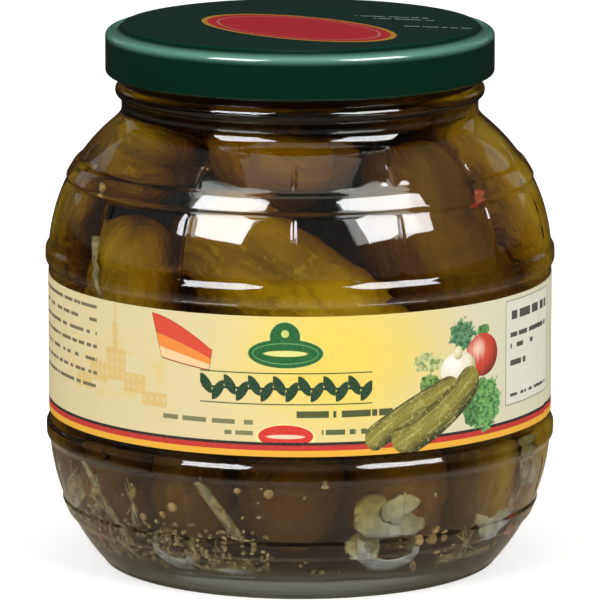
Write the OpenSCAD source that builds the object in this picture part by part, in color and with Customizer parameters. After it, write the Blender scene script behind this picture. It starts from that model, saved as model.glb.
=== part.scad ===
// Jar of gherkins in brine: a barrel-shaped glass with a twist-off lid and a wrap-round label.
// The glass has two bowed ends, raised hoops and bands, and pressed lines like a barrel's staves.
// All sizes are in millimetres. The origin is the centre of the base, +Z is up, and the
// front of the label faces -Y.

/* [Glass body] */
// Outer radius of the glass where the label sits
panel_r = 59.35; // [48:0.05:72]
// Radius of the curve that draws the body in to the base
base_bow = 48; // [40:0.5:58]
// How far that curve draws the radius in at the base
base_draw = 12.55; // [10:0.05:15.5]
// Radius of the curve of the shoulder
shoulder_bow = 41; // [34:0.5:50]
// How far the shoulder draws the radius in to the neck
neck_draw = 17.4; // [14.4:0.05:21]
// Thickness of the glass in the wall
wall = 2.8; // [2.3:0.1:3.6]
// Thickness of the glass above the bearing ring
floor_t = 6.5; // [5:0.1:8]
// Radius of the corner between floor and wall, inside
floor_corner = 7; // [5:0.5:9]

/* [Base] */
// Height of the rounded heel
heel_h = 0.9; // [0.7:0.05:1.2]
// How far the heel turns in before it meets the ground
heel_turn = 2.9; // [2.3:0.1:3.6]
// Width of the flat ring that the jar stands on
ring_w = 3; // [2:0.1:4]
// Rise of the hollow under the base
punt_h = 3.2; // [2.5:0.1:4]
// Rise of the glass floor at its middle
floor_dome = 1.5; // [1:0.1:2.2]

/* [Bands, hoops and staves] */
// Height of the raised bands above and below the label
band_h = 6; // [5:0.1:7.2]
// How far the bands stand out
band_out = 0.75; // [0.5:0.05:1]
// Width over which a band rises
band_blend = 1.9; // [1.4:0.1:2.3]
// Height of the lower band's middle above the widest point of the base curve
low_band_lift = -1.1; // [-1.5:0.05:0.5]
// Height of the upper band's middle above the start of the shoulder
top_band_lift = 1; // [0.5:0.05:1.5]
// Height of a hoop
hoop_h = 5.2; // [4.2:0.1:6]
// How far the hoops stand out
hoop_out = 0.6; // [0.4:0.05:0.75]
// Width over which a hoop rises
hoop_blend = 1.1; // [0.9:0.05:1.4]
// Distance of the upper hoop's middle above the upper band's middle
top_hoop_rise = 20.1; // [16.7:0.1:22]
// Distance of the lower hoop's middle below the lower band's middle
low_hoop_drop = 18.6; // [15.5:0.1:20]
// Number of staves round the barrel
staves = 14; // [10:1:20]
// Turn of the first stave line from +X
stave_turn = -91.5; // [-180:0.5:180]
// Width of a stave line
stave_w = 0.9; // [0.6:0.05:1.2]
// Depth of a stave line
stave_d = 0.35; // [0.2:0.05:0.5]
// Clearance between a stave line's end and a band or hoop
stave_gap = 0.6; // [0.4:0.1:1]
// Length of the short stave lines above the upper hoop
stave_tip = 4; // [3:0.1:5]

/* [Neck and finish] */
// How softly the shoulder turns up into the neck
neck_blend = 2.6; // [2:0.1:3.2]
// Height of the neck bead's middle above the foot of the neck
bead_rise = 6; // [5:0.1:7.2]
// Radius of the neck bead's section
bead_r = 1.7; // [1.4:0.05:2.05]
// How far the bead stands out
bead_out = 1.5; // [1.2:0.05:1.65]
// Height of the rim above the bead's middle
finish_h = 15; // [13.5:0.1:18]
// Thickness of the glass in the neck
neck_wall = 3.6; // [3:0.1:4.4]
// Radius of the rim's two rounded edges
rim_round = 1.2; // [1:0.05:1.4]
// Number of thread lugs on the glass, and of lid lugs that hook under them
lugs = 6; // [4:1:8]
// How far a glass thread lug stands out
thread_out = 1.5; // [1.2:0.05:1.8]
// Height of a glass thread lug
thread_h = 1.8; // [1.5:0.1:2.2]
// Arc that a glass thread lug covers, in degrees
thread_arc = 34; // [28:1:40]

/* [Contents] */
// Depth of the free space between the brine and the rim
headspace = 7.6; // [6.5:0.1:9]

/* [Lid] */
// Thickness of the lid's sheet metal
lid_t = 0.3; // [0.25:0.05:0.4]
// Height of the whole lid
lid_h = 11.4; // [10.8:0.1:12.5]
// Clearance between the glass thread and the inside of the skirt
lid_gap = 1.95; // [1.6:0.05:2.4]
// Radius of the rounded edge between skirt and top
lid_edge = 1.4; // [1.1:0.1:1.7]
// How far the flat panel's edge reaches past the outside of the glass neck
step_out = 0.15; // [0.1:0.05:0.4]
// Depth of the step from the flat panel down to the rim groove
step_h = 1.5; // [1.2:0.1:1.8]
// Height of the crest outside the groove above its bottom
crest_h = 0.35; // [0.25:0.05:0.45]
// Radius of the rolled edge at the foot of the skirt
curl_r = 0.9; // [0.75:0.05:1.1]
// Arc that a lid lug covers, in degrees
lug_arc = 12; // [10:1:16]
// Turn of the first lid lug from +X
lug_turn = -81; // [-180:1:180]
// Clearance between a lid lug and the glass
lug_gap = 0.5; // [0.4:0.05:0.6]
// Play between a lid lug and the thread lug above it
lug_play = 0.2; // [0.15:0.05:0.3]

/* [Label] */
// Height of the paper label
label_h = 32.55; // [27:0.05:40]
// Gap between the label and the band on each side
label_gap = 1.65; // [1:0.05:2.2]
// Thickness of the paper with its glue
label_t = 0.12; // [0.1:0.01:0.2]
// Arc over which the label's two ends overlap, in degrees
seam_arc = 7; // [4:0.5:12]
// Turn of the overlap's open edge from +X
seam_turn = -14; // [-180:1:180]

/* [Hidden] */
$fn = 96;
fine = 0.35;    // spacing of section points where the glass bends sharply
even = 1.6;     // spacing of section points along the bows
turns = 8;      // steps in a small rounded corner
past = 1;       // how far a cutter reaches beyond what it cuts

// heights, from the ground up
base_r = panel_r - base_draw;
base_z = heel_h + sqrt(base_draw * (2 * base_bow - base_draw));
low_band_z = base_z + low_band_lift;
low_hoop_z = low_band_z - low_hoop_drop;
label_z = low_band_z + band_h / 2 + label_gap;
top_band_z = label_z + label_h + label_gap + band_h / 2;
shoulder_z = top_band_z - top_band_lift;
top_hoop_z = top_band_z + top_hoop_rise;
neck_r = panel_r - neck_draw;
neck_z = shoulder_z + sqrt(neck_draw * (2 * shoulder_bow - neck_draw));
bead_z = neck_z + bead_rise;
rim_z = bead_z + finish_h;
brine_z = rim_z - headspace;

// what the lid takes from the glass
bore_r = neck_r - neck_wall;
thread_r = neck_r + thread_out;
skirt_r = thread_r + lid_gap + lid_t;
lid_top = rim_z + lid_t;
lid_foot = lid_top - lid_h;
lug_top = lid_foot + 2 * curl_r;
thread_z = lug_top + lug_play;

// 0 below low, 1 above high, with a smooth rise between
function rise(x, low, high) =
    let (t = min(max((x - low) / (high - low), 0), 1)) t * t * (3 - 2 * t);
// a raised ring of height h about z, out by d
function swell(z, middle, h, blend, d) =
    d * rise(z, middle - h / 2, middle - h / 2 + blend)
      * (1 - rise(z, middle + h / 2 - blend, middle + h / 2));
// the larger of two radii, with a fillet where they cross
function soft_max(a, b, k) = max(a, b) + pow(max(k - abs(a - b), 0), 2) / (4 * k);
function bow(r, from_r, dz) = from_r - r + sqrt(max(r * r - dz * dz, 0));
function ring(middle, r, from, to, n) =
    [for (i = [0:n]) let (a = from + (to - from) * i / n) middle + r * [cos(a), sin(a)]];
// evenly spaced heights from low up to, but not at, high
function heights(low, high, gap) =
    let (n = ceil((high - low) / gap)) [for (i = [0:n - 1]) low + (high - low) * i / n];

// plain barrel without hoops and bands
function barrel_r(z) =
    z < base_z ? bow(base_bow, panel_r, base_z - z)
  : z > shoulder_z ? bow(shoulder_bow, panel_r, min(z - shoulder_z, shoulder_bow))
  : panel_r;
function bead_at(z) =
    abs(z - bead_z) < bead_r
        ? neck_r + bead_out - bead_r + sqrt(bead_r * bead_r - pow(z - bead_z, 2)) : 0;
function outer_r(z) =
    soft_max(soft_max(barrel_r(z), neck_r, neck_blend), bead_at(z), fine)
        + swell(z, low_hoop_z, hoop_h, hoop_blend, hoop_out)
        + swell(z, low_band_z, band_h, band_blend, band_out)
        + swell(z, top_band_z, band_h, band_blend, band_out)
        + swell(z, top_hoop_z, hoop_h, hoop_blend, hoop_out);
function corner_cut(z) =
    z < floor_t + floor_corner
        ? floor_corner - sqrt(pow(floor_corner, 2) - pow(floor_t + floor_corner - z, 2)) : 0;
function inner_r(z) = soft_max(barrel_r(z) - wall, bore_r, neck_blend) - corner_cut(z);

// across one hoop: close together where it rises and falls
function hoop_heights(z) = concat(
    heights(z - hoop_h / 2, z - hoop_h / 2 + hoop_blend, fine),
    heights(z - hoop_h / 2 + hoop_blend, z + hoop_h / 2 - hoop_blend, even),
    heights(z + hoop_h / 2 - hoop_blend, z + hoop_h / 2, fine));
outer_heights = concat(
    heights(heel_h, low_hoop_z - hoop_h / 2, even),
    hoop_heights(low_hoop_z),
    heights(low_hoop_z + hoop_h / 2, low_band_z - band_h / 2, even),
    heights(low_band_z - band_h / 2, low_band_z + band_h / 2, 2 * fine),
    [low_band_z + band_h / 2],
    heights(top_band_z - band_h / 2, top_band_z + band_h / 2, 2 * fine),
    heights(top_band_z + band_h / 2, top_hoop_z - hoop_h / 2, even),
    hoop_heights(top_hoop_z),
    heights(top_hoop_z + hoop_h / 2, neck_z - neck_blend, even),
    heights(neck_z - neck_blend, bead_z - bead_r - fine, 2 * fine),
    heights(bead_z - bead_r - fine, bead_z + bead_r + fine, fine),
    [bead_z + bead_r + fine]);
floor_heights = heights(floor_t, floor_t + floor_corner, 2 * fine);
wall_heights = concat(
    heights(floor_t + floor_corner, base_z, even),
    [base_z],
    heights(shoulder_z, neck_z - wall - neck_blend, even),
    heights(neck_z - wall - neck_blend, neck_z + neck_blend, 2 * fine),
    [neck_z + neck_blend, brine_z]);

// section of the hollow, from its middle at the floor up the wall to the brine's surface
hollow_side = concat(
    [for (i = [0:turns - 1]) let (r = (inner_r(floor_t)) * i / turns)
        [r, floor_t + floor_dome * (1 - pow(i / turns, 2))]],
    [for (z = floor_heights) [inner_r(z), z]],
    [for (z = wall_heights) [inner_r(z), z]]);
ring_out = base_r - heel_turn;
ring_in = ring_out - ring_w;

// section of the glass: hollow under the base, ring, heel, side, rim, and back down the inside
module glass_section() {
    polygon(concat(
        [for (i = [0:turns]) let (r = ring_in * i / turns)
            [r, punt_h * (1 - pow(i / turns, 2))]],
        [[ring_out, 0]],
        [for (i = [1:turns - 1]) let (a = 90 * i / turns)
            [ring_out + heel_turn * sin(a), heel_h * (1 - cos(a))]],
        [for (z = outer_heights) [outer_r(z), z]],
        ring([neck_r - rim_round, rim_z - rim_round], rim_round, 0, 90, turns),
        ring([bore_r + rim_round, rim_z - rim_round], rim_round, 90, 180, turns),
        [for (i = [len(hollow_side) - 1:-1:0]) hollow_side[i]]));
}

// a bar that presses one stave line into the glass between two heights
module stave_cutter(low, high) {
    zs = concat(heights(low, high, 2 * even), [high]);
    rotate([90, 0, 0])
        linear_extrude(stave_w, center = true)
            polygon(concat(
                [for (z = zs) [outer_r(z) - stave_d, z]],
                [for (i = [len(zs) - 1:-1:0]) [outer_r(zs[i]) + past, zs[i]]]));
}

module thread_lugs() {
    for (i = [0:lugs - 1])
        rotate([0, 0, lug_turn - thread_arc / 2 + 360 * i / lugs])
            rotate_extrude(angle = thread_arc)
                polygon([
                    [neck_r - past, thread_z], [thread_r - thread_out / 3, thread_z],
                    [thread_r, thread_z + thread_h / 3],
                    [thread_r, thread_z + thread_h / 2], [neck_r - past, thread_z + thread_h]]);
}

module glass() {
    color([0.72, 0.8, 0.74, 0.45]) {
        difference() {
            rotate_extrude() glass_section();
            for (i = [0:staves - 1]) rotate([0, 0, stave_turn + 360 * i / staves]) {
                stave_cutter(low_hoop_z + hoop_h / 2 + stave_gap,
                             low_band_z - band_h / 2 - stave_gap);
                stave_cutter(top_band_z + band_h / 2 + stave_gap,
                             top_hoop_z - hoop_h / 2 - stave_gap);
                stave_cutter(top_hoop_z + hoop_h / 2 + stave_gap,
                             top_hoop_z + hoop_h / 2 + stave_gap + stave_tip);
            }
        }
        thread_lugs();
    }
}

module brine() {
    color([0.42, 0.32, 0.08])
        rotate_extrude()
            polygon(concat(hollow_side, [[0, brine_z]]));
}

// the lid's outer line, from the middle of the panel out, over the crest and down the skirt
step_r = neck_r + step_out;
groove_r = step_r + step_h;
lid_outside = concat(
    [[0, lid_top]],
    ring([step_r - step_h / 2, lid_top - step_h / 2], step_h / 2, 90, 45, turns / 2),
    [[groove_r - step_h / 4, lid_top - step_h]],
    [[groove_r + crest_h, lid_top - step_h]],
    ring([skirt_r - lid_edge, lid_top - step_h + crest_h - lid_edge], lid_edge, 90, 0, turns),
    [[skirt_r, lid_foot + curl_r]]);
// the same line one sheet thickness inside
lid_inside = concat(
    [[0, lid_top - lid_t]],
    ring([step_r - step_h / 2, lid_top - step_h / 2], step_h / 2 - lid_t, 90, 45, turns / 2),
    [[groove_r - step_h / 4 - lid_t / 2, lid_top - step_h - lid_t]],
    [[groove_r + crest_h, lid_top - step_h - lid_t]],
    ring([skirt_r - lid_edge, lid_top - step_h + crest_h - lid_edge], lid_edge - lid_t, 90, 0,
         turns),
    [[skirt_r - lid_t, lid_foot + curl_r]]);

module lid() {
    color([0.0, 0.24, 0.15]) {
        rotate_extrude() {
            polygon(concat(lid_outside,
                           [for (i = [len(lid_inside) - 1:-1:0]) lid_inside[i]]));
            translate([skirt_r - curl_r, lid_foot + curl_r]) circle(curl_r);
        }
        for (i = [0:lugs - 1])
            rotate([0, 0, lug_turn - lug_arc / 2 + 360 * i / lugs])
                rotate_extrude(angle = lug_arc)
                    translate([neck_r + lug_gap, lid_foot + curl_r / 2])
                        square([skirt_r - curl_r - neck_r - lug_gap, 1.5 * curl_r]);
    }
}

module label() {
    color([0.93, 0.86, 0.6])
        union() {
            rotate_extrude()
                translate([panel_r, label_z]) square([label_t, label_h]);
            rotate([0, 0, seam_turn - seam_arc])
                rotate_extrude(angle = seam_arc)
                    translate([panel_r + label_t, label_z]) square([label_t, label_h]);
        }
}

glass();
brine();
lid();
label();
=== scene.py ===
"""Jar of gherkins in brine: the looks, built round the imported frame.

Heights and radii are in millimetres until they reach a mesh. The front of the label faces -Y.
"""

import math
import random

import bmesh
import bpy
from mathutils import Matrix, Vector, noise


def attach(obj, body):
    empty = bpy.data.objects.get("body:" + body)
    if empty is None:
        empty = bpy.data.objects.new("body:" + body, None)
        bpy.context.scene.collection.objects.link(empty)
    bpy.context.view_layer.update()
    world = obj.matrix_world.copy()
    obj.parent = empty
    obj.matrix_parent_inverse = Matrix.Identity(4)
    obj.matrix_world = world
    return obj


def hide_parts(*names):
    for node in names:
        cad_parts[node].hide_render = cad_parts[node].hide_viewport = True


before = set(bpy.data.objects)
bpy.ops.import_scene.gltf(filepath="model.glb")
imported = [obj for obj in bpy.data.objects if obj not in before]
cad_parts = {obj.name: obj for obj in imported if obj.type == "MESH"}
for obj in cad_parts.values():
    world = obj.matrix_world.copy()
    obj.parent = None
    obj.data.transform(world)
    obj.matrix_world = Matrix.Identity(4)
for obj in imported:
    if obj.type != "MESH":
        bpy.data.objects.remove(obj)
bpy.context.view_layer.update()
MM = 0.001

# ---- the jar's own sizes, as the CAD has them ----
PANEL_R, WALL, SHOULDER_BOW, BASE_BOW = 59.35, 2.8, 41.0, 48.0
BASE_DRAW = 12.55
HEEL_H, HEEL_TURN, RING_W, PUNT_H = 0.9, 2.9, 3.0, 3.2
FLOOR_T, FLOOR_CORNER, FLOOR_DOME = 6.5, 7.0, 1.5
BAND_H, BAND_OUT, BAND_BLEND = 6.0, 0.73, 1.9
HOOP_H, HOOP_OUT, HOOP_BLEND = 5.2, 0.6, 1.1
STAVES, STAVE_TURN, STAVE_D, STAVE_GAP, STAVE_TIP = 14, -91.5, 0.35, 0.6, 4.0
NECK_BLEND, BEAD_R, BEAD_OUT, RIM_ROUND = 2.6, 1.7, 1.5, 1.2
LUGS, LUG_TURN, THREAD_ARC, THREAD_OUT, THREAD_H = 6, -81.0, 34.0, 1.5, 1.8
BASE_Z, LOW_HOOP_Z, LOW_BAND_Z = 33.26, 13.56, 32.16
TOP_BAND_Z, SHOULDER_Z, TOP_HOOP_Z = 74.01, 73.01, 94.11
NECK_R, BORE_R, NECK_Z, BEAD_Z = 41.95, 38.35, 106.54, 112.54
RIM_Z, BRINE_Z, THREAD_Z = 127.54, 119.94, 118.44
LID_TOP, LID_FOOT, LID_T, LID_EDGE, SKIRT_R = 127.84, 116.44, 0.3, 1.4, 45.7
LID_OVAL, LID_OVAL_L, LID_OVAL_W = (-0.4, -7.0), 56.0, 31.0
STEP_R, STEP_H, GROOVE_R, CREST_H, CURL_R, LUG_ARC = 42.1, 1.5, 43.6, 0.35, 0.9, 12.0
LABEL_Z, LABEL_H, LABEL_T, SEAM_ARC, SEAM_TURN = 36.81, 32.55, 0.12, 7.0, -14.0
LUG_PITCH = 360.0 / LUGS

# ---- where the label's print lies: along the paper from its front, and up ----
PRINT_R, MIDDLE, OVAL_Z, TITLE = 59.5, -3.3, 60.8, (-23.4, 16.7)
BADGE_LEFT, BADGE_W, BADGE_TOP = -35.9, 15.2, 68.3


def rise(x, low, high):
    t = min(max((x - low) / (high - low), 0.0), 1.0)
    return t * t * (3 - 2 * t)


def window(x, low, high, fade):
    return rise(x, low - fade, low) * (1 - rise(x, high, high + fade))


def swell(z, middle, height, blend, out):
    low, high = middle - height / 2, middle + height / 2
    return out * rise(z, low, low + blend) * (1 - rise(z, high - blend, high))


def soft_max(a, b, k):
    return max(a, b) + max(k - abs(a - b), 0.0) ** 2 / (4 * k)


def bow(r, from_r, dz):
    return from_r - r + math.sqrt(max(r * r - dz * dz, 0.0))


def lug_angle(turn):
    """Degrees from the middle of the nearest lug."""
    return (turn - LUG_TURN + LUG_PITCH / 2) % LUG_PITCH - LUG_PITCH / 2


def barrel_r(z):
    if z < BASE_Z:
        return bow(BASE_BOW, PANEL_R, BASE_Z - z)
    if z > SHOULDER_Z:
        return bow(SHOULDER_BOW, PANEL_R, min(z - SHOULDER_Z, SHOULDER_BOW))
    return PANEL_R


def outer_r(z):
    bead = 0.0
    if abs(z - BEAD_Z) < BEAD_R:
        bead = NECK_R + BEAD_OUT - BEAD_R + math.sqrt(BEAD_R ** 2 - (z - BEAD_Z) ** 2)
    plain = soft_max(soft_max(barrel_r(z), NECK_R, NECK_BLEND), bead, 0.35)
    for middle in (LOW_HOOP_Z, TOP_HOOP_Z):
        plain += swell(z, middle, HOOP_H, HOOP_BLEND, HOOP_OUT)
    for middle in (LOW_BAND_Z, TOP_BAND_Z):
        plain += swell(z, middle, BAND_H, BAND_BLEND, BAND_OUT)
    return plain


def inner_r(z):
    cut, top = 0.0, FLOOR_T + FLOOR_CORNER
    if z < top:
        cut = FLOOR_CORNER - math.sqrt(max(FLOOR_CORNER ** 2 - (top - z) ** 2, 0.0))
    return soft_max(barrel_r(z) - WALL, BORE_R, NECK_BLEND) - cut


def heights(low, high, gap):
    n = max(math.ceil((high - low) / gap), 1)
    return [low + (high - low) * i / n for i in range(n)]


def arc(middle, r, start, end, n):
    turns = [math.radians(start + (end - start) * i / n) for i in range(n + 1)]
    return [(middle[0] + r * math.cos(a), middle[1] + r * math.sin(a)) for a in turns]


# ---- shader helpers ----
class Wire:
    """A shader socket that takes part in Python arithmetic."""

    def __init__(self, look, socket):
        self.look, self.socket = look, socket

    def math(self, operation, *others, clamp=False):
        settings = {"operation": operation, "use_clamp": clamp}
        return self.look.node("Math", settings, dict(enumerate((self,) + others)))

    def __add__(self, other):
        return self.math("ADD", other)

    __radd__ = __add__

    def __sub__(self, other):
        return self.math("SUBTRACT", other)

    def __rsub__(self, other):
        return self.look.node("Math", {"operation": "SUBTRACT"}, {0: other, 1: self})

    def __mul__(self, other):
        return self.math("MULTIPLY", other)

    __rmul__ = __mul__

    def __truediv__(self, other):
        return self.math("DIVIDE", other)

    def __pow__(self, other):
        return self.math("POWER", other)

    def __neg__(self):
        return self.math("MULTIPLY", -1.0)

    def __abs__(self):
        return self.math("ABSOLUTE")

    def least(self, other):
        return self.math("MINIMUM", other)

    def most(self, other):
        return self.math("MAXIMUM", other)

    def held(self):
        return self.math("ADD", 0.0, clamp=True)

    def ramp(self, low, high):
        """0 at low and 1 at high, smooth between; low may be above high."""
        return self.look.node("MapRange", {"interpolation_type": "SMOOTHSTEP"},
                              {0: self, 1: low, 2: high})


class Look:
    """A material, or another node tree, under construction."""

    def __init__(self, name, tree=None):
        self.tree = tree
        if tree is None:
            self.material = bpy.data.materials.new(name)
            self.material.use_nodes = True
            self.tree = self.material.node_tree
        self.tree.nodes.clear()

    def node(self, kind, settings=None, inputs=None, out=0):
        made = self.tree.nodes.new("ShaderNode" + kind)
        for key, value in (settings or {}).items():
            setattr(made, key, value)
        for key, value in (inputs or {}).items():
            if isinstance(value, Wire):
                self.tree.links.new(value.socket, made.inputs[key])
            else:
                made.inputs[key].default_value = value
        return Wire(self, made.outputs[out])

    def mix(self, share, a, b):
        return self.node("Mix", {"data_type": "RGBA"}, {0: share, 6: a, 7: b}, 2)

    def blend(self, share, one, other):
        """A mix of two shaders."""
        return self.node("MixShader", None, {0: share, 1: one, 2: other})

    def ray(self, kind):
        return self.node("LightPath", out="Is " + kind + " Ray")

    def lay(self, colour, *layers):
        """Lays each (share, colour) pair over what is there."""
        for share, over in layers:
            colour = self.mix(share, colour, over)
        return colour

    def place(self):
        """Object coordinates in millimetres, as three wires."""
        at = self.node("TexCoord", out=3)
        parts = self.node("SeparateXYZ", None, {0: at})
        other = [Wire(self, parts.socket.node.outputs[i]) for i in (1, 2)]
        return tuple(w * 1000.0 for w in [parts] + other)

    def vector(self, x, y, z):
        return self.node("CombineXYZ", None, {0: x, 1: y, 2: z})

    def noise(self, vector, scale, detail=2.0, rough=0.5):
        return self.node("TexNoise", None, {"Vector": vector, "Scale": scale,
                                            "Detail": detail, "Roughness": rough})

    def bump(self, height, depth, normal=None):
        inputs = {"Height": height, "Distance": depth * MM}
        if normal is not None:
            inputs["Normal"] = normal
        return self.node("Bump", None, inputs)

    def finish(self, surface, volume=None):
        out = self.tree.nodes.new("ShaderNodeOutputMaterial")
        self.tree.links.new(surface.socket, out.inputs["Surface"])
        if volume is not None:
            self.tree.links.new(volume.socket, out.inputs["Volume"])
        return self.material


def paint(r, g, b):
    """A display colour, 0 to 255, as the linear colour that a node wants."""
    def linear(v):
        v /= 255.0
        return v / 12.92 if v <= 0.04045 else ((v + 0.055) / 1.055) ** 2.4
    return (linear(r), linear(g), linear(b), 1.0)


# ---- mesh helpers ----
def lathe(outline, steps, closed=False):
    """Spins a (radius, height) line once round the jar's axis."""
    bm = bmesh.new()
    verts = [bm.verts.new((r * MM, 0.0, z * MM)) for r, z in outline]
    edges = [bm.edges.new(pair) for pair in zip(verts, verts[1:])]
    if closed:
        edges.append(bm.edges.new((verts[-1], verts[0])))
    bmesh.ops.spin(bm, geom=verts + edges, cent=(0, 0, 0), axis=(0, 0, 1), dvec=(0, 0, 0),
                   angle=math.tau, steps=steps, use_merge=True, use_duplicate=False)
    bmesh.ops.remove_doubles(bm, verts=bm.verts, dist=1e-6)
    bmesh.ops.recalc_face_normals(bm, faces=bm.faces)
    return bm


def piece(name, bm, material, slot, smooth=True):
    mesh = bpy.data.meshes.new(name)
    for face in bm.faces:
        face.smooth = smooth
    bm.to_mesh(mesh)
    bm.free()
    made = bpy.data.objects.new(name, mesh)
    bpy.context.scene.collection.objects.link(made)
    mesh.materials.append(material)
    if slot:
        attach(made, "root")
    return made


def crease(bm, degrees):
    """Marks the edges that stay crisp under smooth shading."""
    limit = math.radians(degrees)
    for edge in bm.edges:
        if len(edge.link_faces) == 2:
            edge.smooth = edge.calc_face_angle(0.0) < limit


# ---- camera and light ----
scene = bpy.context.scene
scene.view_settings.view_transform = "Standard"
scene.cycles.use_denoising = True
scene.cycles.max_bounces = 24
scene.cycles.transmission_bounces = 16
scene.cycles.glossy_bounces = 8
scene.cycles.transparent_max_bounces = 24
scene.cycles.sample_clamp_indirect = 6.0
scene.cycles.caustics_reflective = False
scene.cycles.caustics_refractive = False

AIM = Vector((0.0, 0.0, 0.0618))
lens = bpy.data.cameras.new("camera")
lens.lens, lens.sensor_width = 369.9, 36.0
camera = bpy.data.objects.new("camera", lens)
camera.location = (0.0, -1.4313, 0.3382)
camera.rotation_euler = (AIM - camera.location).to_track_quat("-Z", "Y").to_euler()
scene.collection.objects.link(camera)
scene.camera = camera


def bearing(azimuth, elevation, distance=1.0):
    """A point seen from the jar: azimuth to the right of the front, elevation upwards."""
    a, e = math.radians(azimuth), math.radians(elevation)
    way = Vector((math.sin(a) * math.cos(e), -math.cos(a) * math.cos(e), math.sin(e)))
    return AIM + way * distance


def softbox(name, azimuth, elevation, width, height, radiance, mirrored, distance=2.6):
    """A rectangular lamp that faces the jar. A mirrored one shows only in gloss."""
    lamp = bpy.data.lights.new(name, "AREA")
    lamp.shape, lamp.size, lamp.size_y = "RECTANGLE", width, height
    lamp.energy = 4.0 * width * height * radiance
    made = bpy.data.objects.new(name, lamp)
    made.location = bearing(azimuth, elevation, distance)
    made.rotation_euler = (AIM - made.location).to_track_quat("-Z", "Y").to_euler()
    made.visible_camera = False
    made.visible_glossy = mirrored
    made.visible_diffuse = made.visible_transmission = not mirrored
    scene.collection.objects.link(made)
    return made


softbox("shine_left", -43, 40, 1.3, 1.45, 13.0, True)
softbox("shine_right", 51, 40, 1.6, 1.45, 13.0, True)
for side, tag in ((-1, "left"), (1, "right")):
    softbox("fill_" + tag, side * 45, 38, 1.5, 1.5, 3.4, False)
    softbox("back_shine_" + tag, side * 140, 16, 0.6, 0.8, 0.3, True)
softbox("ceiling", 0, 75, 1.5, 1.1, 0.85, True, 2.2).data.color = (1.0, 0.9, 0.76)

world = bpy.data.worlds.new("studio")
world.use_nodes = True
scene.world = world
room = Look("studio", world.node_tree)
shade = room.lay((0.5, 0.5, 0.5, 1), (room.ray("Glossy"), (0.02, 0.022, 0.022, 1)),
                 (room.ray("Transmission"), (0.22, 0.22, 0.21, 1)),
                 (room.ray("Camera"), (1.0, 1.0, 1.0, 1)))
background = room.node("Background", None, {0: shade, 1: 1.0})
room.tree.links.new(background.socket,
                    room.tree.nodes.new("ShaderNodeOutputWorld").inputs["Surface"])

look = Look("pale_floor")
x, y, z = look.place()
matt = look.node("BsdfPrincipled", None, {
    "Base Color": (0.93, 0.93, 0.925, 1), "Roughness": 0.9, "Specular IOR Level": 0.1})
lifted = look.node("AddShader", None, {
    0: matt, 1: look.node("Emission", None, {0: (1, 1, 1, 1), 1: 0.42})})
matt = look.blend(look.ray("Camera"), matt, lifted)
# only the floor close round the jar shows in its gloss, as on a small table in a dark room
dark = look.node("Emission", None, {0: (0.02, 0.018, 0.015, 1), 1: 1.0})
warm = look.node("BsdfDiffuse", None, {0: (0.62, 0.53, 0.42, 1)})
matt = look.blend(look.ray("Glossy"), matt, warm)
away = (x ** 2.0 + y ** 2.0) ** 0.5
painted_dark_share = away.ramp(80.0, 170.0) * look.ray("Glossy")
# seen through the glass, the floor close under the jar is painted dark: a painted shadow under the
# jar
painted_dark_share = painted_dark_share.most(away.ramp(170.0, 80.0) * 0.93 * look.ray("Transmission"))
floor_finish = look.finish(look.blend(painted_dark_share, matt, dark))
bm = bmesh.new()
bmesh.ops.create_circle(bm, cap_ends=True, segments=96, radius=3.6)
bmesh.ops.translate(bm, verts=bm.verts, vec=(0, 0, -0.00005))
piece("floor", bm, floor_finish, None, False)


# ---- glass ----
def jar_glass():
    look = Look("clear_glass")
    x, y, z = look.place()
    turn = x.math("ARCTAN2", y)
    knurl = (turn * 290.0).math("SINE") * z.ramp(2.2, 1.2)
    ripple = look.noise(look.vector(x, y, z * 0.45), 0.055, 2.0)
    normal = look.bump(knurl, 0.3)
    normal = look.bump(ripple, 0.35, normal)
    tint = look.mix(z.ramp(7.0, 1.0), (0.91, 0.965, 0.935, 1), (0.74, 0.82, 0.72, 1))
    clear = look.node("BsdfPrincipled", None, {
        "Base Color": tint, "Roughness": 0.015 + z.ramp(31.0, 21.0) * 0.10, "IOR": 1.5,
        "Transmission Weight": 1.0, "Normal": normal})
    return lets_light(look, clear)


def lets_light(look, clear, volume=None):
    """Lamps and the soft light of the room reach what is behind the glass."""
    open_way = look.node("BsdfTransparent", None, {0: (0.93, 0.95, 0.94, 1)})
    surface = look.blend(look.ray("Shadow"), clear, open_way)
    return look.finish(look.blend(look.ray("Diffuse"), surface, open_way), volume)


STAVE_LINES = ((LOW_HOOP_Z + HOOP_H / 2 + STAVE_GAP, LOW_BAND_Z - BAND_H / 2 - STAVE_GAP),
               (TOP_BAND_Z + BAND_H / 2 + STAVE_GAP, TOP_HOOP_Z - HOOP_H / 2 - STAVE_GAP),
               (TOP_HOOP_Z + HOOP_H / 2 + STAVE_GAP,
                TOP_HOOP_Z + HOOP_H / 2 + STAVE_GAP + STAVE_TIP))
SECTOR = 360.0 / STAVES
EDGE_TURNS = (0.0, 0.3, 0.6, 0.95)
ROUND = len(EDGE_TURNS) * 4


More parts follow.
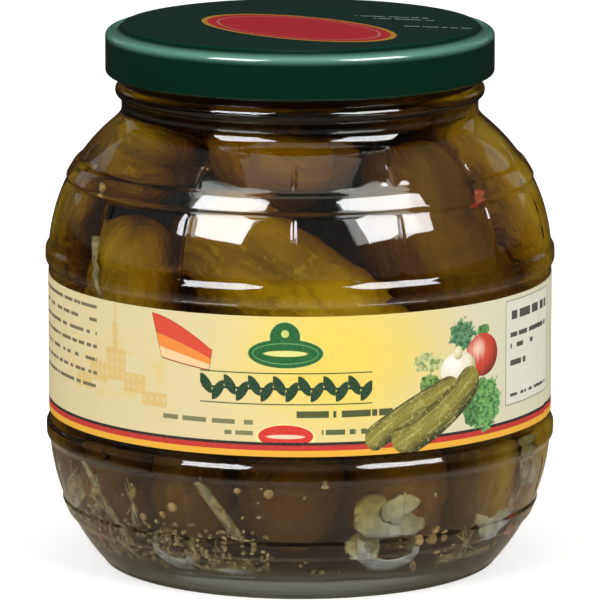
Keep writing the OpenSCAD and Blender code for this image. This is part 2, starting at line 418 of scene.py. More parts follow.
def glass_outline():
    ring_out = PANEL_R - BASE_DRAW - HEEL_TURN
    ring_in = ring_out - RING_W
    line = [(ring_in * i / 8, PUNT_H * (1 - (i / 8) ** 2)) for i in range(9)]
    line.append((ring_out, 0.0))
    for i in range(1, 8):
        a = math.radians(90 * i / 8)
        line.append((ring_out + HEEL_TURN * math.sin(a), HEEL_H * (1 - math.cos(a))))
    marks = [(HEEL_H, 1.2)]
    for middle, height, gap in ((LOW_HOOP_Z, HOOP_H, 0.3), (LOW_BAND_Z, BAND_H, 0.45),
                                (TOP_BAND_Z, BAND_H, 0.45), (TOP_HOOP_Z, HOOP_H, 0.3)):
        marks += [(middle - height / 2, gap), (middle + height / 2, 0.9)]
    marks += [(NECK_Z - NECK_BLEND, 0.6), (BEAD_Z - BEAD_R - 0.35, 0.3),
              (BEAD_Z + BEAD_R + 0.35, 1.0), (THREAD_Z - 0.8, 0.4),
              (THREAD_Z + THREAD_H + 0.6, 1.6), (RIM_Z - RIM_ROUND, 0)]
    for (low, gap), (high, _) in zip(marks, marks[1:]):
        if abs(low - (LOW_BAND_Z + BAND_H / 2)) < 0.01:
            gap = 4.0
        line += [(outer_r(z), z) for z in heights(low, high, gap)]
    line += arc((NECK_R - RIM_ROUND, RIM_Z - RIM_ROUND), RIM_ROUND, 0, 90, 5)
    line += arc((BORE_R + RIM_ROUND, RIM_Z - RIM_ROUND), RIM_ROUND, 90, 180, 5)
    line += [(r, z) for r, z in reversed(hollow_line(0.0, True))]
    return line


def hollow_line(into, neck=False):
    """The inside of the jar from the middle of its floor up, reaching into the wall."""
    r0 = inner_r(FLOOR_T)
    line = [(r0 * i / 8, FLOOR_T + FLOOR_DOME * (1 - (i / 8) ** 2) - into) for i in range(8)]
    marks = [(FLOOR_T, 0.7), (FLOOR_T + FLOOR_CORNER, 1.6), (BASE_Z, 6.0), (SHOULDER_Z, 1.6),
             (NECK_Z - WALL - NECK_BLEND, 0.8), (NECK_Z + NECK_BLEND, 3.0), (BRINE_Z, 0)]
    for (low, gap), (high, _) in zip(marks, marks[1:]):
        line += [(inner_r(z) + into, z - (into if z < FLOOR_T + 0.1 else 0.0))
                 for z in heights(low, high, gap)]
    line.append((inner_r(BRINE_Z) + into, BRINE_Z))
    return line


def press_staves(bm):
    """Bunches the steps of the spin about each stave line, then presses the lines in."""
    table = list(EDGE_TURNS)
    free = ROUND - 2 * len(EDGE_TURNS) + 1
    first = EDGE_TURNS[-1]
    table += [first + (SECTOR - 2 * first) * i / (free + 1) for i in range(1, free + 1)]
    table += [SECTOR - t for t in reversed(EDGE_TURNS[1:])]
    step = math.tau / (STAVES * ROUND)
    for v in bm.verts:
        r = math.hypot(v.co.x, v.co.y) / MM
        if r < 0.01:
            continue
        z = v.co.z / MM
        j = round(math.atan2(v.co.y, v.co.x) / step) % (STAVES * ROUND)
        away = table[j % ROUND]
        turn = math.radians(STAVE_TURN + (j // ROUND) * SECTOR + away)
        on_outside = r > outer_r(z) - 0.05 and HEEL_H < z < RIM_Z - RIM_ROUND
        if on_outside:
            arc_mm = math.radians(min(away, SECTOR - away)) * r
            depth = STAVE_D * (1 - rise(arc_mm, 0.05, 0.85))
            r -= depth * sum(window(z, low + 0.5, high - 0.5, 0.6) for low, high in STAVE_LINES)
            lug = lug_angle(math.degrees(turn))
            r += (THREAD_OUT * window(abs(lug), -1, THREAD_ARC / 2 - 2, 2)
                  * window(z, THREAD_Z + 0.5, THREAD_Z + THREAD_H - 0.8, 0.7))
        v.co.x, v.co.y = r * MM * math.cos(turn), r * MM * math.sin(turn)


bm = lathe(glass_outline(), STAVES * ROUND)
press_staves(bm)
glass = piece("jar_glass", bm, jar_glass(), "glass")
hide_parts("glass")


# ---- brine ----
look = Look("brine")
liquid = look.node("BsdfPrincipled", None, {
    "Base Color": (1, 1, 1, 1), "Roughness": 0.0, "IOR": 1.33, "Transmission Weight": 1.0})
absorbs = look.node("VolumeAbsorption", None, {"Color": (0.84, 0.74, 0.10, 1), "Density": 160.0})
brine = piece("brine_fill", lathe(hollow_line(0.15) + [(0.0, BRINE_Z)], 160),
              lets_light(look, liquid, absorbs), "brine")
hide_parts("brine")


# ---- lid ----
def lid_finish():
    look = Look("green_tinplate")
    x, y, z = look.place()
    cloud = look.noise(look.vector(x, y, z), 0.3, 3.0).ramp(0.35, 0.7)
    colour = look.mix(cloud, paint(0, 39, 25), paint(0, 41, 27))
    top = z.ramp(LID_TOP - 0.3, LID_TOP - 0.1)
    # the flat top is painted a lighter grey-green than the skirt: a painted sheen for the light
    # the top mirrors; the same top mask also bounds the print
    colour = look.mix(top * 0.6, colour, paint(4, 68, 54))
    # a printed oval, turned on the lid, with an edge and a thin line inside
    from_x, from_y = x - LID_OVAL[0], y - LID_OVAL[1]
    lengthwise = (from_x * 0.716 - from_y * 0.698) / (LID_OVAL_L / 2)
    crosswise = (from_x * 0.698 + from_y * 0.716) / (LID_OVAL_W / 2)
    reach = (lengthwise ** 2.0 + crosswise ** 2.0) ** 0.5
    from_axis = (x ** 2.0 + y ** 2.0) ** 0.5
    # a pale green band painted round the rounded crest of the lid's edge: a painted highlight
    # where that edge would mirror the room's light
    crown_highlight = from_axis.ramp(42.3, 43.4) * z.ramp(LID_TOP - 3.4, LID_TOP - 1.4)
    colour = look.lay(
        colour, (reach.ramp(1.005, 0.995) * top, paint(236, 172, 60)),
        (reach.ramp(0.945, 0.935) * top, paint(236, 50, 60)),
        (reach.ramp(0.845, 0.84) * reach.ramp(0.815, 0.82) * top, paint(232, 150, 130)),
        (crown_highlight * 0.8, paint(104, 160, 138)))
    # dashes where small print would be
    for low, high, level in ((13.0, 31.0, 16.0), (17.0, 33.0, 12.6), (24.0, 40.0, 2.0)):
        dash = look.noise(look.vector(x * 0.9, level, 0.0), 1.0, 0.0).ramp(0.42, 0.44)
        mark = x.ramp(low, low + 0.2) * x.ramp(high, high - 0.2)
        mark = mark * abs(y - level - x * -0.25).ramp(0.55, 0.45) * dash * top
        colour = look.mix(mark, colour, paint(170, 192, 182))
    normal = look.bump(look.noise(look.vector(x, y, z), 0.9, 2.0), 0.012)
    return look.finish(look.node("BsdfPrincipled", None, {
        "Base Color": colour, "Roughness": 0.25, "Specular IOR Level": 0.15, "Coat Weight": 1.0,
        "Coat Roughness": 0.05, "Coat IOR": 1.5, "Normal": normal}))


def lid_outline():
    line = [(0.0, LID_TOP), (15.0, LID_TOP), (30.0, LID_TOP), (39.0, LID_TOP)]
    line += arc((STEP_R - STEP_H / 2, LID_TOP - STEP_H / 2), STEP_H / 2, 90, 45, 4)
    line += [(GROOVE_R - STEP_H / 4, LID_TOP - STEP_H), (GROOVE_R + CREST_H, LID_TOP - STEP_H)]
    edge_z = LID_TOP - STEP_H + CREST_H - LID_EDGE
    line += arc((SKIRT_R - LID_EDGE, edge_z), LID_EDGE, 90, 0, 7)
    foot_z = LID_FOOT + CURL_R
    line += [(SKIRT_R, edge_z - (edge_z - foot_z) * i / 10) for i in range(1, 10)]
    line += arc((SKIRT_R - CURL_R, foot_z), CURL_R, 0, -312, 14)
    line += [(SKIRT_R - LID_T, foot_z + (edge_z - foot_z) * i / 6) for i in range(1, 7)]
    line += arc((SKIRT_R - LID_EDGE, edge_z), LID_EDGE - LID_T, 0, 90, 5)[1:]
    line += [(GROOVE_R + CREST_H, LID_TOP - STEP_H - LID_T),
             (GROOVE_R - STEP_H / 4 - LID_T / 2, LID_TOP - STEP_H - LID_T)]
    line += arc((STEP_R - STEP_H / 2, LID_TOP - STEP_H / 2), STEP_H / 2 - LID_T, 45, 90, 3)
    line.append((0.0, LID_TOP - LID_T))
    return line


def press_lugs(bm):
    """Folds the rolled edge inwards at the lugs, and draws the skirt in slightly there."""
    reach = SKIRT_R - 2 * CURL_R - NECK_R - 0.5
    for v in bm.verts:
        r, z = math.hypot(v.co.x, v.co.y) / MM, v.co.z / MM
        if r < 20 or z > LID_TOP - STEP_H - 1.0:
            continue
        turn = math.degrees(math.atan2(v.co.y, v.co.x))
        away = abs(lug_angle(turn))
        at_lug = window(away, -1, LUG_ARC / 2 - 1.5, 1.5)
        new = r
        if z < LID_FOOT + 2 * CURL_R and r < SKIRT_R - CURL_R * 0.6:
            new = r - reach * at_lug * rise(SKIRT_R - CURL_R * 0.6 - r, 0, CURL_R)
        elif z < LID_FOOT + 6:
            new = r - 0.22 * at_lug * (1 - rise(z, LID_FOOT + 1, LID_FOOT + 6))
        v.co.x, v.co.y = v.co.x * new / r, v.co.y * new / r


bm = lathe(lid_outline(), 240)
press_lugs(bm)
crease(bm, 50)
lid = piece("twist_lid", bm, lid_finish(), "lid")
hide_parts("lid")


# ---- label ----
def label_finish():
    look = Look("printed_paper")
    x, y, z = look.place()
    u = x.math("ARCTAN2", -y) * PRINT_R
    soft = 0.09

    def disc(cu, cz, ru, rz):
        reach = (((u - cu) / ru) ** 2.0 + ((z - cz) / rz) ** 2.0) ** 0.5
        return ((1 - reach) * (min(ru, rz) / soft) + 0.5).held()

    def bar(low_u, high_u, low_z, high_z, edge=soft):
        inside = (u - low_u).least(high_u - u).least((z - low_z).least(high_z - z))
        return (inside / edge + 0.5).held()

    def stroke(a, b, r, sag):
        """A round-ended bar from a to b, bent aside by sag at its middle."""
        length = math.dist(a, b)
        du, dz = (b[0] - a[0]) / length, (b[1] - a[1]) / length
        along = (u - a[0]) * du + (z - a[1]) * dz
        across = (z - a[1]) * du - (u - a[0]) * dz
        across = across - sag * (1 - ((along - length / 2) / (length / 2)) ** 2.0)
        past = (abs(along - length / 2) - length / 2).most(0.0)
        off = (past ** 2.0 + across ** 2.0) ** 0.5
        return ((r - off) / soft + 0.5).held(), along, across

    def lines(low_u, high_u, low_z, high_z, pitch, ink=0.42):
        """Rows of plain dashes of uneven length."""
        rows = (z - low_z) / pitch
        row = rows.math("FLOOR")
        stroke_z = 0.5 - abs(rows - row - 0.5) - (0.5 - ink / 2)
        dash = look.noise(look.vector(u * 0.62, row * 7.3, low_z), 1.0, 0.0).ramp(0.40, 0.42)
        return (stroke_z * (pitch / soft) + 0.5).held() * dash * bar(low_u, high_u, low_z, high_z)

    mottle = look.noise(look.vector(u * 0.05, z * 0.08, 0.0), 1.0, 2.0) - 0.5
    spread = (((u - 9.0) / 34.0) ** 2.0 + ((z - 60.0) / 26.0) ** 2.0) ** 0.5 + mottle * 0.35
    cream = look.mix(u.ramp(10.0, 55.0) * u.ramp(150.0, 95.0), paint(224, 207, 158),
                     paint(217, 213, 180))
    colour = look.mix(spread.ramp(0.15, 1.15), paint(240, 211, 92), cream)
    haze = look.noise(look.vector(u * 0.16, z * 0.3, 3.0), 1.0, 4.0, 0.6).ramp(0.5, 0.62)
    field = u.ramp(-80.0, -66.0) * u.ramp(-24.0, -34.0) * z.ramp(43.0, 48.0) * z.ramp(66.0, 58.0)
    colour = look.mix(haze * field * 0.55, colour, paint(226, 196, 118))

    # pale drawing of roofs and a tower
    blocks = bar(-50.5, -44.0, 51.0, 58.5, 0.3)
    for args in ((-48.2, -46.4, 58.0, 64.5, 0.3), (-47.6, -47.0, 64.0, 69.0, 0.3),
                 (-56.5, -50.0, 50.0, 55.0, 0.3), (-44.5, -38.0, 49.0, 53.5, 0.3),
                 (-63.0, -56.0, 47.5, 51.0, 0.3), (-39.0, -32.0, 46.5, 49.8, 0.3)):
        blocks = blocks.most(bar(*args))
    panes = (u * 3.6).math("SINE").ramp(0.2, 0.5) * (z * 2.9).math("SINE").ramp(0.0, 0.3)
    colour = look.mix(blocks * (1 - panes * 0.6) * 0.75, colour, paint(222, 184, 104))

    # badge of three fields
    s = ((u - BADGE_LEFT) / BADGE_W).held()
    top = BADGE_TOP - 7.2 * s ** 1.6
    foot = 59.3 - 2.9 * s ** 0.7
    t = (z - foot) / (top - foot)
    fields = look.mix(t.ramp(0.22, 0.26), paint(246, 204, 150), paint(240, 138, 52))
    fields = look.mix(t.ramp(0.52, 0.56), fields, paint(218, 66, 44))
    ends = (u - BADGE_LEFT - (BADGE_TOP - z) * 0.26).least(-20.5 - u - (61.0 - z) * 0.15)
    in_badge = ((z - foot).least(top - z).least(ends) / soft + 0.5).held()
    edge = ((z - foot + 0.28).least(top - z + 0.1).least(ends + 0.12) / soft + 0.5).held()
    colour = look.mix(edge, colour, paint(150, 44, 34))
    colour = look.mix(in_badge, colour, fields)

    # oval with a bump, and the rules below it
    edge_yellow, green = paint(228, 214, 120), paint(0, 98, 42)
    colour = look.lay(
        colour, (disc(MIDDLE, OVAL_Z, 9.0, 3.75), edge_yellow),
        (disc(MIDDLE - 0.1, 64.6, 3.9, 3.9), edge_yellow),
        (disc(MIDDLE, OVAL_Z, 8.6, 3.35), green), (disc(MIDDLE - 0.1, 64.6, 3.45, 3.45), green),
        (disc(MIDDLE, OVAL_Z, 7.6, 2.5), paint(96, 160, 96)),
        (disc(MIDDLE, OVAL_Z, 7.35, 2.25), green),
        (disc(MIDDLE, OVAL_Z, 5.0, 0.7), paint(226, 222, 132)),
        (disc(MIDDLE - 0.1, 65.4, 0.9, 0.9), paint(200, 210, 120)),
        *((bar(*TITLE, level - 0.13, level + 0.13), paint(24, 70, 40)) for level in (56.2, 49.0)))

    # garland of small leaves where a title would be
    pitch = 2.87
    beat = (u - TITLE[0]) / pitch
    local = (beat - beat.math("FLOOR") - 0.5) * pitch
    flip = ((beat.math("FLOOR") * math.pi).math("COSINE"))
    rise_z = z - 52.6 - flip * 0.7
    tilt = local + rise_z * flip * 0.5
    leaf = ((tilt / 1.32) ** 2.0 + (rise_z / 2.3) ** 2.0) ** 0.5
    leaves = ((1 - leaf) * 9.0 + 0.5).held() * bar(*TITLE, 49.5, 55.9)
    stem = ((0.3 - abs(z - 52.6)) / soft + 0.5).held() * bar(-23.0, 16.3, 49.5, 55.9)
    colour = look.mix(leaves.most(stem), colour, paint(14, 62, 34))

    # dashes where small print would be
    faint = paint(122, 124, 84)
    colour = look.lay(
        colour, (lines(-0.8, 23.7, 45.3, 48.1, 2.8, 0.56), paint(72, 84, 44)),
        (lines(5.0, 17.2, 41.2, 43.8, 2.6, 0.46), paint(86, 96, 50)),
        (lines(-33.0, -10.8, 43.6, 45.8, 2.2, 0.5), faint),
        (lines(-17.5, -10.8, 41.2, 43.2, 2.0, 0.5), faint),
        (lines(-88.0, -54.0, 47.0, 68.7, 3.1, 0.26), paint(118, 108, 84)))

    # small oval
    colour = look.lay(colour, (disc(MIDDLE, 41.4, 6.9, 3.1), paint(250, 226, 150)),
                      (disc(MIDDLE, 41.6, 6.3, 2.6), paint(214, 40, 34)),
                      (disc(MIDDLE, 41.5, 4.4, 0.5), paint(250, 206, 180)))

    # stripes at the foot
    step = bar(76.5, 79.5, 0, 100) * 0.25
    level = z - step
    colour = look.lay(colour, (level.ramp(40.25, 40.12), paint(34, 28, 26)),
                      (level.ramp(39.55, 39.42), paint(196, 40, 34)),
                      (level.ramp(38.32, 38.2), paint(236, 174, 46)))

    # vegetables: leaves, onions, and two gherkins in front
    speck = look.noise(look.vector(u, z, 0.0), 0.9, 4.0, 0.65)
    frill = look.noise(look.vector(u, z, 4.0), 0.55, 4.0, 0.65) * 2.4 - 1.2

    def leafy(cu, cz, ru, rz, dark, light, wild=0.45):
        reach = (((u - cu) / ru) ** 2.0 + ((z - cz) / rz) ** 2.0) ** 0.5 + frill * wild
        return reach.ramp(1.0, 0.9), look.mix(speck.ramp(0.36, 0.62), dark, light)

    for args in ((40.3, 62.4, 3.8, 3.8, paint(30, 84, 52), paint(100, 152, 104), 0.7),
                 (46.8, 62.8, 2.0, 1.7, paint(40, 92, 40), paint(110, 160, 84)),
                 (31.0, 57.2, 4.2, 2.4, paint(110, 138, 70), paint(214, 214, 150), 0.9),
                 (31.5, 51.6, 3.4, 3.0, paint(52, 98, 38), paint(132, 166, 78)),
                 (47.6, 45.6, 5.6, 6.6, paint(30, 98, 44), paint(122, 184, 100)),
                 (43.0, 44.0, 2.6, 3.4, paint(26, 84, 40), paint(90, 150, 80))):
        colour = look.lay(colour, leafy(*args))

    def ball(cu, cz, ru, rz, dark, mid, light):
        ribs = look.noise(look.vector((u - cu) * 1.6, (z - cz) * 0.2, cu), 1.0, 2.0) * 0.5 - 0.25
        reach = (((u - cu + ru * 0.3) / ru) ** 2.0 + ((z - cz - rz * 0.3) / rz) ** 2.0) ** 0.5
        reach = reach + ribs
        body = look.mix(reach.ramp(0.0, 0.7), light, mid)
        return disc(cu, cz, ru, rz), look.mix(reach.ramp(0.75, 1.4), body, dark)

    for args in ((46.6, 57.2, 5.2, 5.0, paint(122, 24, 18), paint(204, 58, 38),
                  paint(250, 204, 180)),
                 (39.2, 54.8, 5.2, 4.1, paint(176, 160, 96), paint(238, 232, 206),
                  paint(255, 253, 244)),
                 (39.0, 58.6, 1.3, 1.6, paint(176, 160, 96), paint(226, 218, 170),
                  paint(240, 236, 210))):
        colour = look.lay(colour, ball(*args))
    for a, b, r, sag in (((36.5, 50.6), (17.8, 41.0), 3.0, -0.7),
                         ((42.2, 51.0), (25.4, 39.7), 3.7, 0.9)):
        shape, along, across = stroke(a, b, r, sag)
        rim = (abs(across + r * 0.15) / r).ramp(0.1, 1.1)
        body = look.mix(rim, paint(138, 128, 44), paint(40, 46, 12))
        ribs = look.noise(look.vector(along * 0.16, across * 1.1, 0.0), 1.0, 2.0).ramp(0.5, 0.66)
        body = look.mix(ribs * 0.4, body, paint(196, 190, 104))
        warts = look.noise(look.vector(along, across, 0.0), 1.1, 2.0).ramp(0.56, 0.68)
        body = look.mix(warts * 0.45, body, paint(206, 202, 120))
        colour = look.mix(shape, colour, body)

    # panel of figures, ruled but empty of words
    colour = look.mix(bar(55.0, 78.7, 43.6, 68.4), colour, paint(150, 148, 130))
    colour = look.mix(bar(55.3, 78.4, 43.9, 68.1), colour, paint(222, 221, 204))
    for low, high, foot_z, head_z, size in ((57.0, 77.0, 63.0, 66.4, 0.6),
                                            (57.0, 77.0, 59.0, 61.2, 0.5),
                                            (57.0, 68.0, 56.4, 58.6, 0.5),
                                            (57.0, 64.0, 52.4, 54.6, 0.6),
                                            (57.0, 77.0, 45.2, 46.6, 0.5)):
        colour = look.mix(lines(low, high, foot_z, head_z, head_z - foot_z, size), colour,
                          paint(74, 74, 70))

    fibre = look.noise(look.vector(x, y, z), 2.2, 4.0, 0.7)
    cockle = look.noise(look.vector(x * 0.5, y * 0.5, z), 0.05, 2.0)
    colour = look.mix(fibre.ramp(0.3, 0.75) * 0.10, colour, paint(200, 190, 160))
    normal = look.bump(cockle, 0.25, look.bump(fibre, 0.012))
    return look.finish(look.node("BsdfPrincipled", None, {
        "Base Color": colour, "Roughness": 0.5, "IOR": 1.45, "Specular IOR Level": 0.2,
        "Normal": normal}))


def label_bm():
    low, high, t = LABEL_Z, LABEL_Z + LABEL_H, LABEL_T
    line = [(PANEL_R, low), (PANEL_R + t, low)]
    line += [(PANEL_R + t, z) for z in heights(low, high, 4.0)[1:]]
    line += [(PANEL_R + t, high), (PANEL_R, high)]
    bm = lathe(line, 288, closed=True)
    flap = [bm.verts.new((r * MM, 0.0, z * MM)) for r, z in
            ((PANEL_R + t + 0.01, low), (PANEL_R + 2 * t, low), (PANEL_R + 2 * t, high),
             (PANEL_R + t + 0.01, high))]
    end = bm.faces.new(flap)
    bmesh.ops.rotate(bm, verts=flap, cent=(0, 0, 0),
                     matrix=Matrix.Rotation(math.radians(SEAM_TURN - SEAM_ARC), 3, "Z"))
    bmesh.ops.spin(bm, geom=[end], cent=(0, 0, 0), axis=(0, 0, 1), dvec=(0, 0, 0),
                   angle=math.radians(SEAM_ARC), steps=6, use_duplicate=False)
    bmesh.ops.recalc_face_normals(bm, faces=bm.faces)
    crease(bm, 40)
    return bm


label = piece("paper_label", label_bm(), label_finish(), "label")
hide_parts("label")


# ---- what is sunk in the brine ----
def cavity_limit(z, r):
    """How far out the middle of a ball of radius r may be at height z."""
    if z > SHOULDER_Z:
        reach, middle, dz = SHOULDER_BOW - WALL - r, PANEL_R - SHOULDER_BOW, z - SHOULDER_Z
    elif z < BASE_Z:
        reach, middle, dz = BASE_BOW - WALL - r, PANEL_R - BASE_BOW, BASE_Z - z
    else:
        return PANEL_R - WALL - r
    bowed = middle + math.sqrt(max(reach * reach - dz * dz, 0.0))
    return max(bowed, BORE_R - r) if z > SHOULDER_Z else bowed


def inside(p, gap):
    """Moves a point in millimetres to at least gap inside the jar's hollow."""
    z = min(max(p.z, FLOOR_T + gap), BRINE_Z - gap)
    r = math.hypot(p.x, p.y)
    z = max(z, FLOOR_T + gap + FLOOR_DOME * (1 - min(r / 40.0, 1.0) ** 2))
    limit = inner_r(z) - gap
    scale = min(limit / r, 1.0) if r > 0.01 else 1.0
    return Vector((p.x * scale, p.y * scale, z))


LINKS = 9
STATIONS = [(k + 0.5) / LINKS for k in range(LINKS)]


def fullness(s):
    return max(1 - (2 * s - 1) ** 2, 0.0) ** 0.3


class Gherkin:
    def __init__(self, points, thick, tone, hold=0.0, taper=0.0):
        self.thick, self.tone, self.hold, self.taper = thick, tone, hold, taper
        self.line = [Vector(p) for p in points]
        self.line = [self.at(s) for s in STATIONS]
        self.link = sum((b - a).length for a, b in zip(self.line, self.line[1:])) / (LINKS - 1)
        self.radii = [thick * fullness(s) for s in STATIONS]

    def at(self, s):
        """A point on the middle line, carried on straight past both ends."""
        n = len(self.line)
        f = s * n - 0.5 if n == LINKS else s * (n - 1)
        i = min(max(int(math.floor(f)), 0), n - 2)
        t = f - i
        a, b = self.line[i], self.line[i + 1]
        if t < 0 or t > 1:
            return a + (b - a) * t
        before = self.line[i - 1] if i > 0 else a - (b - a)
        after = self.line[i + 2] if i + 2 < n else b + (b - a)
        return 0.5 * (2 * a + (b - before) * t + (2 * before - 5 * a + 4 * b - after) * t ** 2
                      + (3 * a - before - 3 * b + after) * t ** 3)


def settle(gherkins, rounds):
    """Eases the gherkins apart, and into the hollow, until they lie side by side."""
    for _ in range(rounds):
        for i, one in enumerate(gherkins):
            for other in gherkins[i + 1:]:
                share = (1 - one.hold) / max(2 - one.hold - other.hold, 0.01)
                reach = one.thick + other.thick
                gap = (one.line[4] - other.line[4]).length
                if gap > reach + 4 * (one.link + other.link):
                    continue
                for a, ra in zip(one.line, one.radii):
                    for b, rb in zip(other.line, other.radii):
                        away = a - b
                        dist = away.length
                        over = (ra + rb) * 0.98 - dist
                        if over > 0 and dist > 0.01:
                            push = away * (over * 0.5 / dist)
                            a += push * share
                            b -= push * (1 - share)
        for one in gherkins:
            line = one.line
            smooth = [line[0]] + [(a + b + c) / 3 for a, b, c in zip(line, line[1:], line[2:])]
            smooth.append(line[-1])
            for k in range(LINKS):
                line[k] = line[k].lerp(smooth[k], 0.3 * (1 - one.hold))
            for ks in (range(LINKS // 2, LINKS - 1), range(LINKS // 2, 0, -1)):
                for k in ks:
                    step = 1 if ks.step > 0 else -1
                    way = line[k + step] - line[k]
                    line[k + step] = line[k] + way.normalized() * one.link
            for p, r in zip(line, one.radii):
                p.z = min(max(p.z, FLOOR_T + FLOOR_DOME + r * 0.94), BRINE_Z - 2.0 - r)
                out = math.hypot(p.x, p.y)
                limit = cavity_limit(p.z, r) - 0.2
                if out > limit:
                    p.x, p.y = p.x * limit / out, p.y * limit / out


def grow(bm, gherkin, number):
    """A gherkin's closed skin: three soft flats, warts, and a pinched flower end."""
    skin = bm.verts.layers.float_vector.get("skin")
    tone = bm.verts.layers.float.get("tone")
    made = bmesh.ops.create_uvsphere(bm, u_segments=40, v_segments=56, radius=1.0)
    side = Vector((math.sin(number * 2.1), math.cos(number * 1.3), 0.35)).normalized()
    length = gherkin.link * LINKS
    phase = number * 1.7
    for v in made["verts"]:
        s, across = (v.co.z + 1) / 2, math.hypot(v.co.x, v.co.y)
        angle = math.atan2(v.co.y, v.co.x)
        spot = Vector((math.cos(angle) * gherkin.thick, math.sin(angle) * gherkin.thick,
                       s * length + number * 137.0))
        r = gherkin.thick * across ** 0.6 * (1 - gherkin.taper * (s - 0.5))
        r *= 1 + 0.035 * math.cos(3 * angle + phase)
        wart = noise.noise(spot / 5.2) * 0.75 + max(noise.noise(spot / 3.1), 0.0) * 1.1
        dent = min(noise.noise(spot / 16.0), 0.0) * 1.6
        r += (wart + dent) * min(across * 1.6, 1.0)
        here, ahead = gherkin.at(s), gherkin.at(s + 0.01)
        way = (ahead - here).normalized()
        x_axis = (side - way * side.dot(way)).normalized()
        y_axis = way.cross(x_axis)
        pinch = (0.7 * (1 - min(across / 0.3, 1.0)) ** 2) * (1 if s > 0.5 else -1)
        p = here + (x_axis * math.cos(angle) + y_axis * math.sin(angle)) * r - way * pinch
        v[skin] = spot
        v[tone] = gherkin.tone
        v.co = inside(p, 0.45) * MM


def gherkin_skin():
    look = Look("gherkin_skin")
    spot = look.node("Attribute", {"attribute_name": "skin"}, out=1)
    tone = look.node("Attribute", {"attribute_name": "tone"}, out=2)
    parts = look.node("SeparateXYZ", None, {0: spot})
    across = [Wire(look, parts.socket.node.outputs[i]) for i in (0, 1, 2)]
    streak_at = look.vector(across[0] * 0.17, across[1] * 0.17, across[2] * 0.04)
    streak = look.noise(streak_at, 1.0, 3.0, 0.6)
    cloud = look.noise(look.vector(*across), 0.055, 2.0)
    warts = look.noise(look.vector(*across), 0.33, 1.0)
    pores = look.noise(look.vector(*across), 1.3, 2.0)
    colour = look.mix(cloud.ramp(0.35, 0.68), (0.28, 0.148, 0.006, 1), (0.55, 0.325, 0.012, 1))
    # the last layer darkens a whole gherkin by its own share: partly a darker gherkin, partly
    # painted shade on those lying low under the label
    colour = look.lay(
        colour, (streak.ramp(0.52, 0.74) * 0.5, (0.56, 0.37, 0.03, 1)),
        (streak.ramp(0.46, 0.28) * 0.65, (0.12, 0.058, 0.004, 1)),
        (warts.ramp(0.60, 0.72) * 0.4, (0.55, 0.38, 0.035, 1)),
        (pores.ramp(0.62, 0.72) * 0.3, (0.60, 0.43, 0.06, 1)), (tone, (0.13, 0.055, 0.006, 1)))
    normal = look.bump(warts, 1.3)
    normal = look.bump(pores, 0.35, normal)
    normal = look.bump(streak, 0.25, normal)
    return look.finish(look.node("BsdfPrincipled", None, {
        "Base Color": colour, "Roughness": 0.5, "Specular IOR Level": 0.03,
        "Normal": normal}))


def pack_gherkins():
    """The gherkins that the glass shows come first, then those that fill the jar."""
    packed = [
        Gherkin(((-15, -34, 80.5), (-5, -40, 74), (12, -41, 61), (32, -29, 45)), 13.6, 0.0, 1.0),
        Gherkin(((-24, 22, 90), (-32, 8, 91), (-32, -8, 92), (-26, -19, 93)), 12.0, 0.0, 0.97),
        Gherkin(((-33, -25, 84), (-35, -27, 70), (-35, -27, 52), (-34, -25, 38)), 12.2, 0.3, 0.92),
        Gherkin(((-44, 1, 88), (-45, 2, 70), (-45, 2, 45), (-40, 2, 20)), 11.0, 0.1, 0.85),
        Gherkin(((19, -22, 94), (24, -24, 82), (28, -26, 64), (30, -26, 44)), 14.0, 0.7, 0.97),
        Gherkin(((25, -4, 108), (35, -4, 94), (43, -3, 78), (45, -3, 54)), 11.2, 0.0, 0.92),
        Gherkin(((28, -13, 108), (21, 0, 106), (11, 14, 103), (2, 26, 99)), 7.6, 0.6, 0.92),
        Gherkin(((2, -22, 95), (-6, -18, 95.5), (-9, -2, 95.5), (-6, 20, 94)), 12.6, 0.12, 0.95),
        Gherkin(((22, 28, 97), (29, 12, 97), (24, 0, 100)), 10.4, 0.2),
        # these low gherkins under the label are darkened much by their third number: painted shade
        Gherkin(((1, -38, 36), (-3, -38, 26), (-7, -36, 14)), 11.5, 0.85, 0.5),
        Gherkin(((-21, -34, 34), (-22, -34, 24), (-22, -31, 14)), 9.5, 0.8, 0.3),
        Gherkin(((-36, -22, 34), (-36, -22, 24), (-33, -20, 14)), 10.5, 0.8, 0.3),
        Gherkin(((39, -18, 36), (39, -18, 25), (36, -17, 14)), 10.5, 0.6, 0.3),
        Gherkin(((20, -35, 36), (21, -35, 25), (19, -33, 13)), 11.5, 0.8, 0.5),
    ]
    for azimuth, low, high, thick, tone in (
            (78, 14, 60, 12.0, 0.1), (108, 20, 88, 12.4, 0.0), (140, 14, 84, 12.6, 0.2),
            (172, 16, 86, 12.0, 0.0), (205, 14, 80, 12.8, 0.15), (238, 18, 86, 12.0, 0.0)):
        a = math.radians(azimuth)
        out = [(math.sin(a) * r, -math.cos(a) * r, low + (high - low) * t)
               for r, t in ((40, 0.0), (44, 0.35), (44, 0.7), (40, 1.0))]
        packed.append(Gherkin(out, thick, tone, 0.2, 0.1))
    for x, y, low, high in ((-12, -14, 14, 84), (14, -8, 12, 80), (4, 16, 14, 86),
                            (-18, 12, 20, 84), (22, 16, 16, 80)):
        packed.append(Gherkin(((x, y, low), (x * 1.1, y, 50), (x, y * 1.1, high)), 11.6, 0.3))
    settle(packed, 40)
    bm = bmesh.new()
    bm.verts.layers.float_vector.new("skin")
    bm.verts.layers.float.new("tone")
    for number, gherkin in enumerate(packed):
        grow(bm, gherkin, number)
    bmesh.ops.recalc_face_normals(bm, faces=bm.faces)
    return piece("gherkins", bm, gherkin_skin(), "brine")


pack_gherkins()


